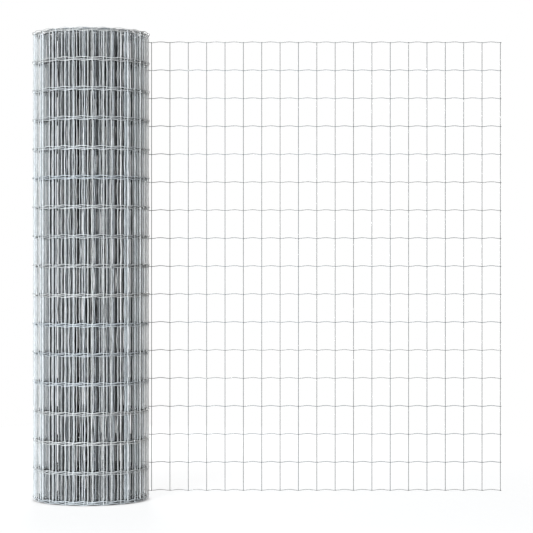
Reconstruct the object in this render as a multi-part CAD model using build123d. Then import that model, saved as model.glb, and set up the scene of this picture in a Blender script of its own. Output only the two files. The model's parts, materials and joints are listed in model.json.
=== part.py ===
from build123d import *
import os
from math import pi, sqrt

# Wire mesh: line wires run along the fence, stays run across it and stand upright here.
wire_diameter = 1.8
line_count = 17
line_pitch = 76.2
stay_pitch = 50.0
crimp_height = 2.4  # rise of a line wire's hump between two stays
weld_sink = 0.6  # depth to which a weld presses one wire into the other
stay_stub = 1.5  # end of a stay past the middle of the edge line wire
line_stub = 3.0  # end of a line wire past the middle of the last stay

# Wound length and the free end that is unrolled flat from it.
fence_length = 25000.0
roll_radius = 153.0
bore_radius = 30.0
free_cells = 22
seat_gap = 0.2  # between the outermost turn and the stays of the free end
slide = 9.0  # how far the turns have slid past each other along the roll's axis
slide_shares = (0.0, 0.7, 0.3, 1.0, 0.2, 0.85, 0.5)  # for one turn after another, from the bore out, repeated

# A square bar has the same section area as the round wire that it stands for.
bar = wire_diameter * sqrt(pi) / 2

# The winding: how many turns the wound length makes, and their places across an end.
fence_height = (line_count - 1) * line_pitch + 2 * stay_stub
free_length = free_cells * stay_pitch
wound_area = pi * (roll_radius**2 - bore_radius**2)
turn_count = round((roll_radius - bore_radius) * (fence_length - free_length) / wound_area)
turn_pitch = (roll_radius - bore_radius - wire_diameter) / (turn_count - 1)
groove_depth = stay_stub + wire_diameter / 2
lifts = [slide * slide_shares[turn % len(slide_shares)] for turn in range(turn_count)]

# The free end lies as high as the outermost turn, which it runs on from.
free_lift = lifts[-1]
line_heights = [free_lift + stay_stub + row * line_pitch for row in range(line_count)]

# Depths of the free end, measured from the roll's axis.
stay_inner = roll_radius + seat_gap
line_outer = stay_inner + 2 * bar - weld_sink


def end_outline(end, groove):
    """Points across one end of the roll, from the bore out: a land for each turn, a groove between turns."""
    points = []
    for turn, lift in enumerate(lifts):
        inner = bore_radius + turn * turn_pitch
        points += [(inner, end + lift), (inner + wire_diameter, end + lift)]
        if turn < turn_count - 1:
            points += [(inner + wire_diameter, groove), (inner + turn_pitch, groove)]
    return points


def side_outline():
    """Points up the outside of the roll: each line wire is a raised ring, and the two edge ones end it."""
    stays_radius = roll_radius - wire_diameter + weld_sink
    points = []
    for height in line_heights:
        low = height - wire_diameter / 2
        high = height + wire_diameter / 2
        points += [(stays_radius, low), (roll_radius, low), (roll_radius, high), (stays_radius, high)]
    return points[2:-2]


def wound_roll():
    """The wound length as one turned solid, with its bore and its turns."""
    bottom = end_outline(0, slide + groove_depth)
    top = end_outline(fence_height, fence_height - groove_depth)
    outline = Polyline(bottom + side_outline() + top[::-1], close=True)
    return revolve(Plane.XZ * make_face(outline), axis=Axis.Z)


def crimped_edge(shift):
    """One edge of a line wire: tangent arcs, low at each stay and high between stays, with straight ends."""
    quarter = stay_pitch / 4
    middle = crimp_height / 2
    start = (0, shift)
    end = (free_length, shift)
    edges = [
        Line((-bar / 2, shift), start),
        TangentArc(start, (quarter, middle + shift), tangent=(1, 0)),
        TangentArc(end, (free_length - quarter, middle + shift), tangent=(-1, 0)),
        Line(end, (free_length + line_stub, shift)),
    ]
    for cell in range(free_cells):
        rise = cell * stay_pitch + quarter
        fall = rise + 2 * quarter
        crest = (rise + quarter, crimp_height + shift)
        edges.append(ThreePointArc((rise, middle + shift), crest, (fall, middle + shift)))
        if cell < free_cells - 1:
            valley = (fall + quarter, shift)
            edges.append(ThreePointArc((fall, middle + shift), valley, (fall + 2 * quarter, middle + shift)))
    return edges


def line_wire():
    """One crimped line wire of the free end, at its depth, with its ends at height 0."""
    edges = crimped_edge(-bar / 2) + crimped_edge(bar / 2)
    for along in (-bar / 2, free_length + line_stub):
        edges.append(Line((along, -bar / 2), (along, bar / 2)))
    plane = Plane(origin=(0, line_outer, 0), x_dir=(1, 0, 0), z_dir=(0, -1, 0))
    return extrude(plane * make_face(edges), amount=bar)


def stay():
    """One straight stay of the free end, at its depth and height, on the tangent line."""
    corner = (Align.CENTER, Align.MIN, Align.MIN)
    return Pos(0, stay_inner, free_lift) * Box(bar, bar, fence_height, align=corner)


def unrolled_end():
    """The flat sheet of line wires and stays, fused where they cross."""
    wire = line_wire()
    upright = stay()
    wires = [Pos(0, 0, height) * wire for height in line_heights]
    stays = [Pos(cell * stay_pitch, 0, 0) * upright for cell in range(free_cells + 1)]
    return stays[0].fuse(*stays[1:], *wires)


os.makedirs("parts", exist_ok=True)
for name, solid in {"wound_roll": wound_roll(), "unrolled_end": unrolled_end()}.items():
    export_step(solid, f"parts/{name}.step")
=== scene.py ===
import json
import math

import bpy
import numpy as np
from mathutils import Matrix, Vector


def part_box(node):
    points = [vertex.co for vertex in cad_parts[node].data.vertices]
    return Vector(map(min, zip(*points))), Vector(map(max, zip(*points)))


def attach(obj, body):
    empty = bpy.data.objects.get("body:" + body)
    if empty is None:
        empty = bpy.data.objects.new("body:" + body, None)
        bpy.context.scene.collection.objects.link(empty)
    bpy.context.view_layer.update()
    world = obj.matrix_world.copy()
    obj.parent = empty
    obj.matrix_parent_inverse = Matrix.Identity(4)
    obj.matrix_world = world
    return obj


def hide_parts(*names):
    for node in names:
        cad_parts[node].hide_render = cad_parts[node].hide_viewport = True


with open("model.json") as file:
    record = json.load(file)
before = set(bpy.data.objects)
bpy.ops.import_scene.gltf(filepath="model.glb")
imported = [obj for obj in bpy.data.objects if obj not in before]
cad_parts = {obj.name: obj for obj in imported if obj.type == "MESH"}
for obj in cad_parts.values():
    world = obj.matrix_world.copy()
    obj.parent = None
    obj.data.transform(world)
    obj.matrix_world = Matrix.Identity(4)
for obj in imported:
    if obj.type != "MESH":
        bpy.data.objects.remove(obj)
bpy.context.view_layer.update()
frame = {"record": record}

scene = bpy.context.scene
LAYOUT_SEED = 48
rng = np.random.default_rng(LAYOUT_SEED)

TURN = 2 * math.pi
QUARTER_TURN = math.pi / 2
UP = np.array([0.0, 0.0, 1.0])
MM_PER_METRE = 1000

# Wire mesh, in metres: line wires run along the fence, stays run across it and stand upright.
WIRE = 0.0018
WELD_SINK = 0.0006
LINE_COUNT = 17
LINE_PITCH = 0.0762
STAY_PITCH = 0.050
CRIMP = 0.0024
STAY_STUB = 0.0015
LINE_STUB = 0.003
FENCE_LENGTH = 25.0

# The free end and the roll, from the frame.
end_low, end_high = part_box("unrolled_end")
roll_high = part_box("wound_roll")[1]
mounts = {mount["name"]: mount for mount in frame["record"]["mounts"]}
bore_radius = mounts["core_bore"]["dims"]["r_mm"] / MM_PER_METRE
free_cells = round((end_high[0] - LINE_STUB) / STAY_PITCH)
all_cells = round(FENCE_LENGTH / STAY_PITCH)
free_length = free_cells * STAY_PITCH
fence_height = (LINE_COUNT - 1) * LINE_PITCH + 2 * STAY_STUB
free_lift = end_low[2]
slide_range = roll_high[2] - fence_height

# Winding: the line wires lie outside their stays, and each turn lies just inside the one before.
stay_depth = WIRE - WELD_SINK
outer_radius = (end_low[1] + end_high[1] + stay_depth) / 2
inner_radius = bore_radius + stay_depth + WIRE / 2
turn_pitch = math.pi * (outer_radius**2 - inner_radius**2) / (FENCE_LENGTH - free_length)


def winding(along):
    """Angle past the tangent line and radius of the line wires, for distances along the fence."""
    wound = np.maximum(along - free_length, 0)
    radius = np.sqrt(np.maximum(outer_radius**2 - turn_pitch * wound / math.pi, 0))
    return (outer_radius - radius) * TURN / turn_pitch, radius


def along_at(angle):
    """Distance along the fence at which it has wound through an angle."""
    radius = outer_radius - angle * turn_pitch / TURN
    return free_length + math.pi * (outer_radius**2 - radius**2) / turn_pitch


def smooth_through(values):
    """A function that runs smoothly through one value after another, from 0 up."""
    values = np.asarray(values)

    def value_at(number):
        number = np.clip(number, 0, len(values) - 1)
        before = np.minimum(number.astype(int), len(values) - 2)
        share = number - before
        share = share * share * (3 - 2 * share)
        return values[before] * (1 - share) + values[before + 1] * share

    return value_at


# How far each turn has slid up, at each quarter turn from the back of the outermost turn inwards, as shares
# of the room for it. The three outermost turns have a row each, and the first of them starts as high as the
# free end.
OUTER_SLIDE_SHARES = [
    (free_lift / slide_range, 0.80, 0.90, 0.85),
    (0.50, 0.20, 0.10, 0.15),
    (0.40, 0.50, 0.45, 0.50),
]
quarter_count = int(winding(np.array(FENCE_LENGTH))[0] / QUARTER_TURN) + 2
slide_shares = rng.permuted(np.linspace(0, 1, quarter_count))
slide_shares[:np.size(OUTER_SLIDE_SHARES)] = np.ravel(OUTER_SLIDE_SHARES)
slide_at = smooth_through(slide_shares * slide_range)

# Slack of each turn: the stays of the outer turns stand behind each other in rows that run straight back
# from the front of the roll, and those of the far side and of the turns deep in the roll are spread. It is
# set where the outer turns cross sight lines, given by their distances from the axis, and once on each deep
# turn. The turns take the rows one after another, and each row has the places of its stays as shares of its
# part of the pitch, from which they stray a little. A turn too small for a sight line meets it at the widest
# share of its radius.
NEST_SHARES = np.array([
    (0.00, 0.11, 0.50, 0.30),
    (0.70, 0.59, 0.15, 0.40),
    (0.30, 0.41, 0.72, 0.00),
])
NEST_STRAY_SHARE = 0.02
NEST_SEED = 76
NEST_ANGLE = math.radians(185)
SIGHT_LINES = np.array([-0.12, -0.06, 0.0, 0.06, 0.12])
WIDEST_SIGHT_SHARE = 0.95
GOLDEN_SHARE = (math.sqrt(5) - 1) / 2
outer_turns = np.arange(NEST_SHARES.size)[:, None]
deep_turns = np.arange(NEST_SHARES.size, quarter_count // 4)

# At the roll's two edges, as seen from the front, the stays of the outermost turns stand beside each other.
EDGE_ANGLE = math.radians(88)
EDGE_SHARES = {-EDGE_ANGLE: (-0.08, 0.25, 0.40), EDGE_ANGLE: (-0.03, -0.44, -0.22)}


def whole_pitches(length):
    """The whole number of pitches nearest to a length."""
    return STAY_PITCH * np.round(length / STAY_PITCH)


def turn_mean(values):
    """The mean of the values on each turn."""
    return values.mean(axis=1, keepdims=True)


def nest_places():
    """Where the stays of the outer turns stand on each sight line, as shares of the pitch."""
    rows = len(NEST_SHARES)
    places = ((NEST_SHARES.T + np.arange(rows)) / rows).reshape(-1, 1)
    places = np.repeat(places, len(SIGHT_LINES), axis=1)
    places[1:] += np.random.default_rng(NEST_SEED).normal(0, NEST_STRAY_SHARE, places.shape)[1:]
    return places


def slack_on(angle, shares):
    """Angles of the outer turns on the sight lines, and slack that puts stays at shares of the pitch."""
    radius = outer_radius - turn_pitch * (outer_turns + angle / TURN)
    swing = np.arcsin(np.clip(SIGHT_LINES / radius, -WIDEST_SIGHT_SHARE, WIDEST_SIGHT_SHARE))
    angles = angle + TURN * outer_turns + swing
    return angles, along_at(angles) - along_at(angles[0]) + shares * STAY_PITCH


def roll_slack():
    """Angles through which the fence has wound, and its slack there."""
    front_angles, front_slack = slack_on(NEST_ANGLE, nest_places())
    front_slack -= whole_pitches(turn_mean(front_slack))
    far_angles, far_slack = slack_on(NEST_ANGLE + math.pi, outer_turns * GOLDEN_SHARE)
    far_slack -= whole_pitches(turn_mean(far_slack - turn_mean(front_slack)))
    deep_angles = NEST_ANGLE + TURN * deep_turns
    deep_slack = deep_turns * GOLDEN_SHARE * STAY_PITCH
    deep_slack -= whole_pitches(deep_slack)
    angles = np.append(np.concatenate([front_angles, far_angles], axis=1), deep_angles)
    slack = np.append(np.concatenate([front_slack, far_slack], axis=1), deep_slack)
    for edge_angle, shares in EDGE_SHARES.items():
        edge_angles = NEST_ANGLE + edge_angle + TURN * np.arange(len(shares))
        edge_slack = along_at(edge_angles) - along_at(edge_angles[0]) + np.array(shares) * STAY_PITCH
        edge_slack -= whole_pitches(edge_slack - np.interp(edge_angles, angles, slack))
        order = np.searchsorted(angles, edge_angles)
        angles = np.insert(angles, order, edge_angles)
        slack = np.insert(slack, order, edge_slack)
    return angles, slack


slack_angles, slack_lengths = roll_slack()


def place(along, depth, height):
    """Points of the fence: distance from its last stay, depth behind the line wires, height on the fence."""
    wound = winding(along)[0]
    angle, radius = winding(along + np.interp(wound, slack_angles, slack_lengths))
    flat = np.maximum(free_length - along, 0)
    x = flat - (radius - depth) * np.sin(angle)
    y = (radius - depth) * np.cos(angle)
    z = height + slide_at(wound / QUARTER_TURN)
    return np.stack(np.broadcast_arrays(x, y, z), axis=-1)


def line_wires(first, last, steps):
    """Distances along the fence and paths of all line wires over a length, with a hump between stays."""
    along = np.linspace(first, last, round((last - first) / STAY_PITCH * steps) + 1)
    hump = CRIMP * (1 - np.cos(TURN * along / STAY_PITCH)) / 2
    heights = STAY_STUB + LINE_PITCH * np.arange(LINE_COUNT)
    return along[None, :], place(along[None, :], 0, heights[:, None] + hump)


# Stays: how far a weld reaches from its line wire, how much thicker the stay is there, and how far it sways.
WELD_REACH = 0.0022
WELD_SWELL = 1.12
SWAY = 0.0009


def stay_marks(steps, welds):
    """Places up a stay: height, thickness against the wire's, row of cells, and share of the row's sway."""
    last_row = LINE_COUNT - 2
    marks = [(0.0, 1.0, 0, 0.0)]
    for line in range(LINE_COUNT):
        reaches = [0.0]
        if line <= last_row:
            between = [LINE_PITCH * step / steps for step in range(1, steps)]
            reaches += [WELD_REACH, *between, LINE_PITCH - WELD_REACH] if welds else between
        for reach in reaches:
            swell = WELD_SWELL if welds and reach == 0 else 1.0
            level = STAY_STUB + line * LINE_PITCH + reach
            marks.append((level, swell, min(line, last_row), math.sin(math.pi * reach / LINE_PITCH)))
    marks.append((fence_height, 1.0, last_row, 0.0))
    return [np.array(column) for column in zip(*marks)]


def stay_wires(cells, steps, welds):
    """Distances along the fence, paths and thickness of stays, each swayed a little between line wires."""
    levels, swells, rows, sway_shares = stay_marks(steps, welds)
    sway = rng.normal(0, SWAY, (len(cells), LINE_COUNT - 1))[:, rows] * sway_shares
    sway *= (cells > free_cells)[:, None]
    along = cells[:, None] * STAY_PITCH
    return along, place(along + sway, stay_depth, levels[None, :]), swells


def outward(cells):
    """Unit vectors out of the roll, one for each stay."""
    angle = winding(cells * STAY_PITCH)[0]
    return np.stack([-np.sin(angle), np.cos(angle), 0 * angle], axis=-1)[:, None, :]


def tubes(paths, upright, swells, sides):
    """Vertices and faces of closed round wires along paths with equal numbers of points."""
    wires, points = paths.shape[:2]
    tangent = np.gradient(paths, axis=1)
    tangent /= np.linalg.norm(tangent, axis=2, keepdims=True)
    side = np.cross(tangent, upright)
    side /= np.linalg.norm(side, axis=2, keepdims=True)
    up = np.cross(side, tangent)
    corner = TURN * (np.arange(sides) + 0.5) / sides
    ring = np.cos(corner)[:, None] * side[:, :, None] + np.sin(corner)[:, None] * up[:, :, None]
    radius = WIRE / 2 * np.broadcast_to(swells, points)[None, :, None, None]
    vertices = (paths[:, :, None] + radius * ring).reshape(-1, 3)
    index = np.arange(len(vertices)).reshape(wires, points, sides)
    after = np.roll(index, -1, axis=2)
    quads = np.stack([index[:, :-1], after[:, :-1], after[:, 1:], index[:, 1:]], axis=-1).reshape(-1, 4)
    caps = np.concatenate([index[:, 0, ::-1], index[:, -1]])
    return vertices, quads, caps


# Colour of the wires: each a little cooler or warmer and lighter or darker at random, with painted shade
# that darkens them inside the roll and darkly deep in it, painted light that makes it less so close to its
# two ends, and painted shade on the free end. Depths are in metres.
COOL_TINT = np.array([0.93, 0.97, 1.0])
WARM_TINT = np.array([1.0, 0.97, 0.93])
# Painted shade of the inner turns, and the depth over which the outermost turns fade to it.
INNER_PAINTED_SHADE = 0.85
SURFACE_DEPTH = 0.006
DARK_STEEPNESS = 8
END_REACH = 0.008
END_PAINTED_LIGHT_SHARE = 0.5
# For each kind of wire: the depth of its painted shade, its random unevenness, and the painted shade of the
# free end.
LINE_COLOURING = {"dark_depth": 0.009, "uneven": 0.25, "free_end_shade": 0.50}
STAY_COLOURING = {"dark_depth": 0.040, "uneven": 0.2, "free_end_shade": 0.25}


def wire_tints_and_shade(along, paths, dark_depth, uneven, free_end_shade):
    """Tints of the points of several wires, times their painted shade and painted light."""
    warmth = rng.uniform(0, 1, (len(paths), 1, 1))
    tints = COOL_TINT * (1 - warmth) + WARM_TINT * warmth
    depth = np.maximum(outer_radius - np.hypot(paths[..., 0], paths[..., 1]), 0)
    from_end = np.minimum(paths[..., 2], roll_high[2] - paths[..., 2])
    # Painted shade: darker deeper in the roll, and dark deep in it.
    painted_shade = INNER_PAINTED_SHADE + (1 - INNER_PAINTED_SHADE) * np.exp(-depth / SURFACE_DEPTH)
    painted_shade *= np.exp(-((depth / dark_depth) ** DARK_STEEPNESS))
    # Painted light: less of that painted shade close to the roll's two ends.
    painted_shade = 1 - (1 - painted_shade) * (1 - END_PAINTED_LIGHT_SHARE * np.exp(-from_end / END_REACH))
    # Painted shade: the free end is darker, fading out over a quarter turn into the roll.
    past_free_end = np.clip((along - free_length) / (QUARTER_TURN * outer_radius), 0, 1)
    free_end_shading = 1 - (1 - free_end_shade) * (1 - past_free_end)
    evenness = 1 - uneven * rng.uniform(0, 1, (len(paths), 1))
    return tints * (painted_shade * free_end_shading * evenness)[..., None]


CELL_FILL_SHARE = 0.8


def bake_layout(mesh):
    """A UV map in which each face fills a square cell of its own."""
    sizes = np.array([polygon.loop_total for polygon in mesh.polygons])
    columns = math.ceil(math.sqrt(len(sizes)))
    face = np.repeat(np.arange(len(sizes)), sizes)
    corner = np.arange(len(face)) - np.repeat(np.cumsum(sizes) - sizes, sizes)
    around = TURN * (corner + 0.5) / sizes[face]
    spot = np.stack([np.cos(around), np.sin(around)], axis=-1)
    spot *= CELL_FILL_SHARE / 2 / np.abs(spot).max(axis=1, keepdims=True)
    cell = np.stack([face % columns, face // columns], axis=-1) + 0.5
    layout = mesh.uv_layers.new(name="OFBake")
    layout.data.foreach_set("uv", ((cell + spot) / columns).ravel().astype(np.float32))


def wire_piece(name, groups, material, node):
    """One mesh object from several groups of wires, which stands for a node of the frame."""
    vertices = []
    faces = []
    tints = []
    start = 0
    for along, paths, colouring, upright, swells, sides in groups:
        points, quads, caps = tubes(paths, upright, swells, sides)
        vertices.append(points)
        faces += (quads + start).tolist() + (caps + start).tolist()
        tint_and_shade = wire_tints_and_shade(along, paths, **colouring)
        tints.append(np.repeat(tint_and_shade, sides, axis=1).reshape(-1, 3))
        start += len(points)
    mesh = bpy.data.meshes.new(name)
    mesh.from_pydata(np.concatenate(vertices), [], faces)
    mesh.shade_smooth()
    # The per-point colour holds the tints together with the painted shade and painted light.
    layer = mesh.attributes.new("wire_tint_and_shade", "FLOAT_COLOR", "POINT")
    colours = np.insert(np.concatenate(tints), 3, 1, axis=1)
    layer.data.foreach_set("color", colours.ravel().astype(np.float32))
    bake_layout(mesh)
    mesh.materials.append(material)
    piece = bpy.data.objects.new(name, mesh)
    scene.collection.objects.link(piece)
    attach(piece, "root")
    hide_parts(node)


def stretch(name, first, last, material, node, line_steps, stay_steps, welds, sides):
    """The line wires and stays of the fence from one cell to another."""
    at_end = last == all_cells
    start = first * STAY_PITCH - LINE_STUB * (first == 0)
    end = last * STAY_PITCH + LINE_STUB * at_end
    cells = np.arange(first, last + at_end)
    lines = (*line_wires(start, end, line_steps), LINE_COLOURING, UP, 1.0, sides)
    along, stays, swells = stay_wires(cells, stay_steps, welds)
    stays = (along, stays, STAY_COLOURING, outward(cells), swells, sides)
    wire_piece(name, [lines, stays], material, node)


def noise_of(nodes, links, coords, scale, detail):
    """Noise over the surface, in lumps of about one part in scale of a metre."""
    noise = nodes.new("ShaderNodeTexNoise")
    noise.inputs["Scale"].default_value = scale
    noise.inputs["Detail"].default_value = detail
    links.new(coords.outputs["Object"], noise.inputs["Vector"])
    return noise.outputs["Fac"]


def ramp_of(nodes, links, value, stops):
    """Colours along a value, from positions and colours."""
    ramp = nodes.new("ShaderNodeValToRGB")
    elements = ramp.color_ramp.elements
    for position, colour in stops[1:-1]:
        elements.new(position).color = (*colour, 1)
    for element, (position, colour) in ((elements[0], stops[0]), (elements[-1], stops[-1])):
        element.position = position
        element.color = (*colour, 1)
    links.new(value, ramp.inputs["Fac"])
    return ramp.outputs["Color"]


# Galvanised zinc: soft patches of two greys, and a fine grain in its gloss and its surface.
ZINC_METALLIC = 0.2
PATCH_SCALE = 90
PATCH_DETAIL = 4
PATCH_STOPS = [(0.3, (0.55, 0.56, 0.57)), (0.7, (0.79, 0.80, 0.81))]
GRAIN_SCALE = 700
GRAIN_DETAIL = 3
LEAST_ROUGHNESS = 0.45
MOST_ROUGHNESS = 0.65
BUMP_STRENGTH = 0.4
BUMP_DISTANCE = 0.0002


def zinc_material():
    """Galvanised wire: lighter and darker zinc in soft patches, times the tints of the wires and their
    painted shade.
    """
    material = bpy.data.materials.new("galvanised_wire")
    material.use_nodes = True
    nodes = material.node_tree.nodes
    links = material.node_tree.links
    shader = nodes["Principled BSDF"]
    shader.inputs["Metallic"].default_value = ZINC_METALLIC
    coords = nodes.new("ShaderNodeTexCoord")
    patches = noise_of(nodes, links, coords, PATCH_SCALE, PATCH_DETAIL)
    zinc = ramp_of(nodes, links, patches, PATCH_STOPS)
    # The wires' tints, with their painted shade and painted light.
    tint_and_shade = nodes.new("ShaderNodeAttribute")
    tint_and_shade.attribute_name = "wire_tint_and_shade"
    mix = nodes.new("ShaderNodeMix")
    mix.data_type = "RGBA"
    mix.blend_type = "MULTIPLY"
    mix.inputs["Factor"].default_value = 1.0
    links.new(zinc, mix.inputs["A"])
    links.new(tint_and_shade.outputs["Color"], mix.inputs["B"])
    links.new(mix.outputs["Result"], shader.inputs["Base Color"])
    grain = noise_of(nodes, links, coords, GRAIN_SCALE, GRAIN_DETAIL)
    roughness = nodes.new("ShaderNodeMapRange")
    roughness.inputs["To Min"].default_value = LEAST_ROUGHNESS
    roughness.inputs["To Max"].default_value = MOST_ROUGHNESS
    links.new(grain, roughness.inputs["Value"])
    links.new(roughness.outputs[0], shader.inputs["Roughness"])
    bump = nodes.new("ShaderNodeBump")
    bump.inputs["Strength"].default_value = BUMP_STRENGTH
    bump.inputs["Distance"].default_value = BUMP_DISTANCE
    links.new(grain, bump.inputs["Height"])
    links.new(bump.outputs["Normal"], shader.inputs["Normal"])
    return material


# Detail of the wires: steps of a line wire and of a stay in each cell, welds or none, and sides of a wire.
# The turns in fine detail are one piece, and those inside them are several.
FREE_DETAIL = {"line_steps": 8, "stay_steps": 3, "welds": True, "sides": 8}
OUTER_DETAIL = {"line_steps": 6, "stay_steps": 3, "welds": True, "sides": 8}
INNER_DETAIL = {"line_steps": 4, "stay_steps": 2, "welds": False, "sides": 6}
FINE_TURNS = 3
INNER_PIECES = 3


def build_mesh():
    """The free end, the outer turns in fine detail, and the turns inside them."""
    zinc = zinc_material()
    turn_cells = round(TURN * outer_radius / STAY_PITCH)
    fine_cells = free_cells + FINE_TURNS * turn_cells
    stretch("unrolled_mesh", 0, free_cells, zinc, "unrolled_end", **FREE_DETAIL)
    stretch("wound_turns_outer", free_cells, fine_cells, zinc, "wound_roll", **OUTER_DETAIL)
    ends = np.linspace(fine_cells, all_cells, INNER_PIECES + 1).round().astype(int)
    for number in range(INNER_PIECES):
        name = f"wound_turns_inner_{number + 1}"
        stretch(name, ends[number], ends[number + 1], zinc, "wound_roll", **INNER_DETAIL)


def white_for_view(nodes, links):
    """1 for rays that should see plain white: from the camera, off gloss and through glass."""
    path = nodes.new("ShaderNodeLightPath")
    most = nodes.new("ShaderNodeMath")
    most.operation = "MAXIMUM"
    both = nodes.new("ShaderNodeMath")
    both.operation = "MAXIMUM"
    links.new(path.outputs["Is Camera Ray"], most.inputs[0])
    links.new(path.outputs["Is Glossy Ray"], most.inputs[1])
    links.new(most.outputs[0], both.inputs[0])
    links.new(path.outputs["Is Transmission Ray"], both.inputs[1])
    return both.outputs[0]


WORLD_FILL = 0.06


def studio_world():
    """Plain white all round for the view, and a low even light on the object."""
    world = bpy.data.worlds.new("studio")
    world.use_nodes = True
    nodes = world.node_tree.nodes
    links = world.node_tree.links
    background = nodes["Background"]
    strength = nodes.new("ShaderNodeMapRange")
    strength.inputs["To Min"].default_value = WORLD_FILL
    strength.inputs["To Max"].default_value = 1.0
    links.new(white_for_view(nodes, links), strength.inputs["Value"])
    links.new(strength.outputs[0], background.inputs["Strength"])
    background.inputs["Color"].default_value = (1, 1, 1, 1)
    scene.world = world


# Half the floor's width, distances from the roll's axis at which the floor changes, and its own colour and
# glow round the object.
FLOOR_REACH = 60.0
FLOOR_UNDER = 0.135
FLOOR_ROUND = 0.16
FLOOR_NEAR = 1.2
FLOOR_FAR = 2.4
FLOOR_COLOUR = 0.3
FLOOR_GLOW = 0.83


def floor_material():
    """White that keeps the object's shadow: dark under the roll, lit near it, plain white far from it."""
    material = bpy.data.materials.new("floor_white")
    material.use_nodes = True
    nodes = material.node_tree.nodes
    links = material.node_tree.links
    shader = nodes["Principled BSDF"]
    shader.inputs["Roughness"].default_value = 1.0
    shader.inputs["Specular IOR Level"].default_value = 0.0
    shader.inputs["Emission Color"].default_value = (1, 1, 1, 1)
    coords = nodes.new("ShaderNodeTexCoord")
    distance = nodes.new("ShaderNodeVectorMath")
    distance.operation = "LENGTH"
    links.new(coords.outputs["Object"], distance.inputs[0])
    share = nodes.new("ShaderNodeMath")
    share.operation = "DIVIDE"
    share.inputs[1].default_value = FLOOR_FAR
    links.new(distance.outputs["Value"], share.inputs[0])
    under, around, near = (reach / FLOOR_FAR for reach in (FLOOR_UNDER, FLOOR_ROUND, FLOOR_NEAR))
    own = np.full(3, FLOOR_COLOUR)
    lit = np.full(3, FLOOR_GLOW)
    black = np.zeros(3)
    white = np.ones(3)
    colour = ramp_of(nodes, links, share.outputs[0], [(near, own), (1, black)])
    glow_stops = [(under, black), (around, lit), (near, lit), (1, white)]
    glow = ramp_of(nodes, links, share.outputs[0], glow_stops)
    links.new(colour, shader.inputs["Base Color"])
    seen = nodes.new("ShaderNodeMath")
    seen.operation = "MULTIPLY"
    links.new(white_for_view(nodes, links), seen.inputs[0])
    links.new(glow, seen.inputs[1])
    links.new(seen.outputs[0], shader.inputs["Emission Strength"])
    return material


def studio_floor():
    """A flat white floor under the object."""
    mesh = bpy.data.meshes.new("floor")
    corners = [(x * FLOOR_REACH, y * FLOOR_REACH, 0) for x, y in ((-1, -1), (1, -1), (1, 1), (-1, 1))]
    mesh.from_pydata(corners, [], [(0, 1, 2, 3)])
    mesh.materials.append(floor_material())
    floor = bpy.data.objects.new("floor", mesh)
    scene.collection.objects.link(floor)


def softbox(name, spot, target, size, watts, colour):
    """A large rectangular lamp that faces a point, and that the camera doesn't see."""
    light = bpy.data.lights.new(name, "AREA")
    light.shape = "RECTANGLE"
    light.size, light.size_y = size
    light.energy = watts
    light.color = colour
    lamp = bpy.data.objects.new(name, light)
    lamp.location = spot
    aim = np.array(target) - np.array(spot)
    tilt = math.acos(-aim[2] / np.linalg.norm(aim))
    lamp.rotation_euler = (tilt, 0, math.atan2(aim[1], aim[0]) - QUARTER_TURN)
    lamp.visible_camera = False
    scene.collection.objects.link(lamp)


# Lamps: where each stands and what it faces, its width and height, its power and its colour.
roll_middle = (0, 0, fence_height / 2)
roll_lower = (0, 0, 0.3)
LAMPS = {
    "key_left": ((-1.35, -3.91, 0.3), roll_middle, (1.2, 1.8), 438, (0.885, 0.955, 1.0)),
    "fill_right": ((1.9, -2.26, 0.3), roll_lower, (0.9, 0.6), 8, (1.0, 0.96, 0.92)),
    "back": ((-0.37, 4.1, 0.9), roll_middle, (0.8, 1.8), 220, (1.0, 1.0, 1.0)),
    "top": ((0.3, -0.8, 4.0), roll_middle, (2.0, 1.6), 22, (0.82, 0.92, 1.0)),
}

# The camera's lens, and its place beside and in front of the roll's axis.
SENSOR_MM = 36.0
LENS_MM = 131.6
CAMERA_SIDE = 0.463
CAMERA_AWAY = 5.153


def camera_view():
    """A level camera at the middle of the fence's height, square to the free end."""
    lens = bpy.data.cameras.new("camera")
    lens.sensor_width = SENSOR_MM
    lens.lens = LENS_MM
    camera = bpy.data.objects.new("camera", lens)
    camera.location = (CAMERA_SIDE, -CAMERA_AWAY, free_lift + fence_height / 2)
    camera.rotation_euler = (QUARTER_TURN, 0, 0)
    scene.collection.objects.link(camera)
    scene.camera = camera


build_mesh()
studio_world()
studio_floor()
for lamp_name, lamp_values in LAMPS.items():
    softbox(lamp_name, *lamp_values)
camera_view()
scene.view_settings.view_transform = "Standard"
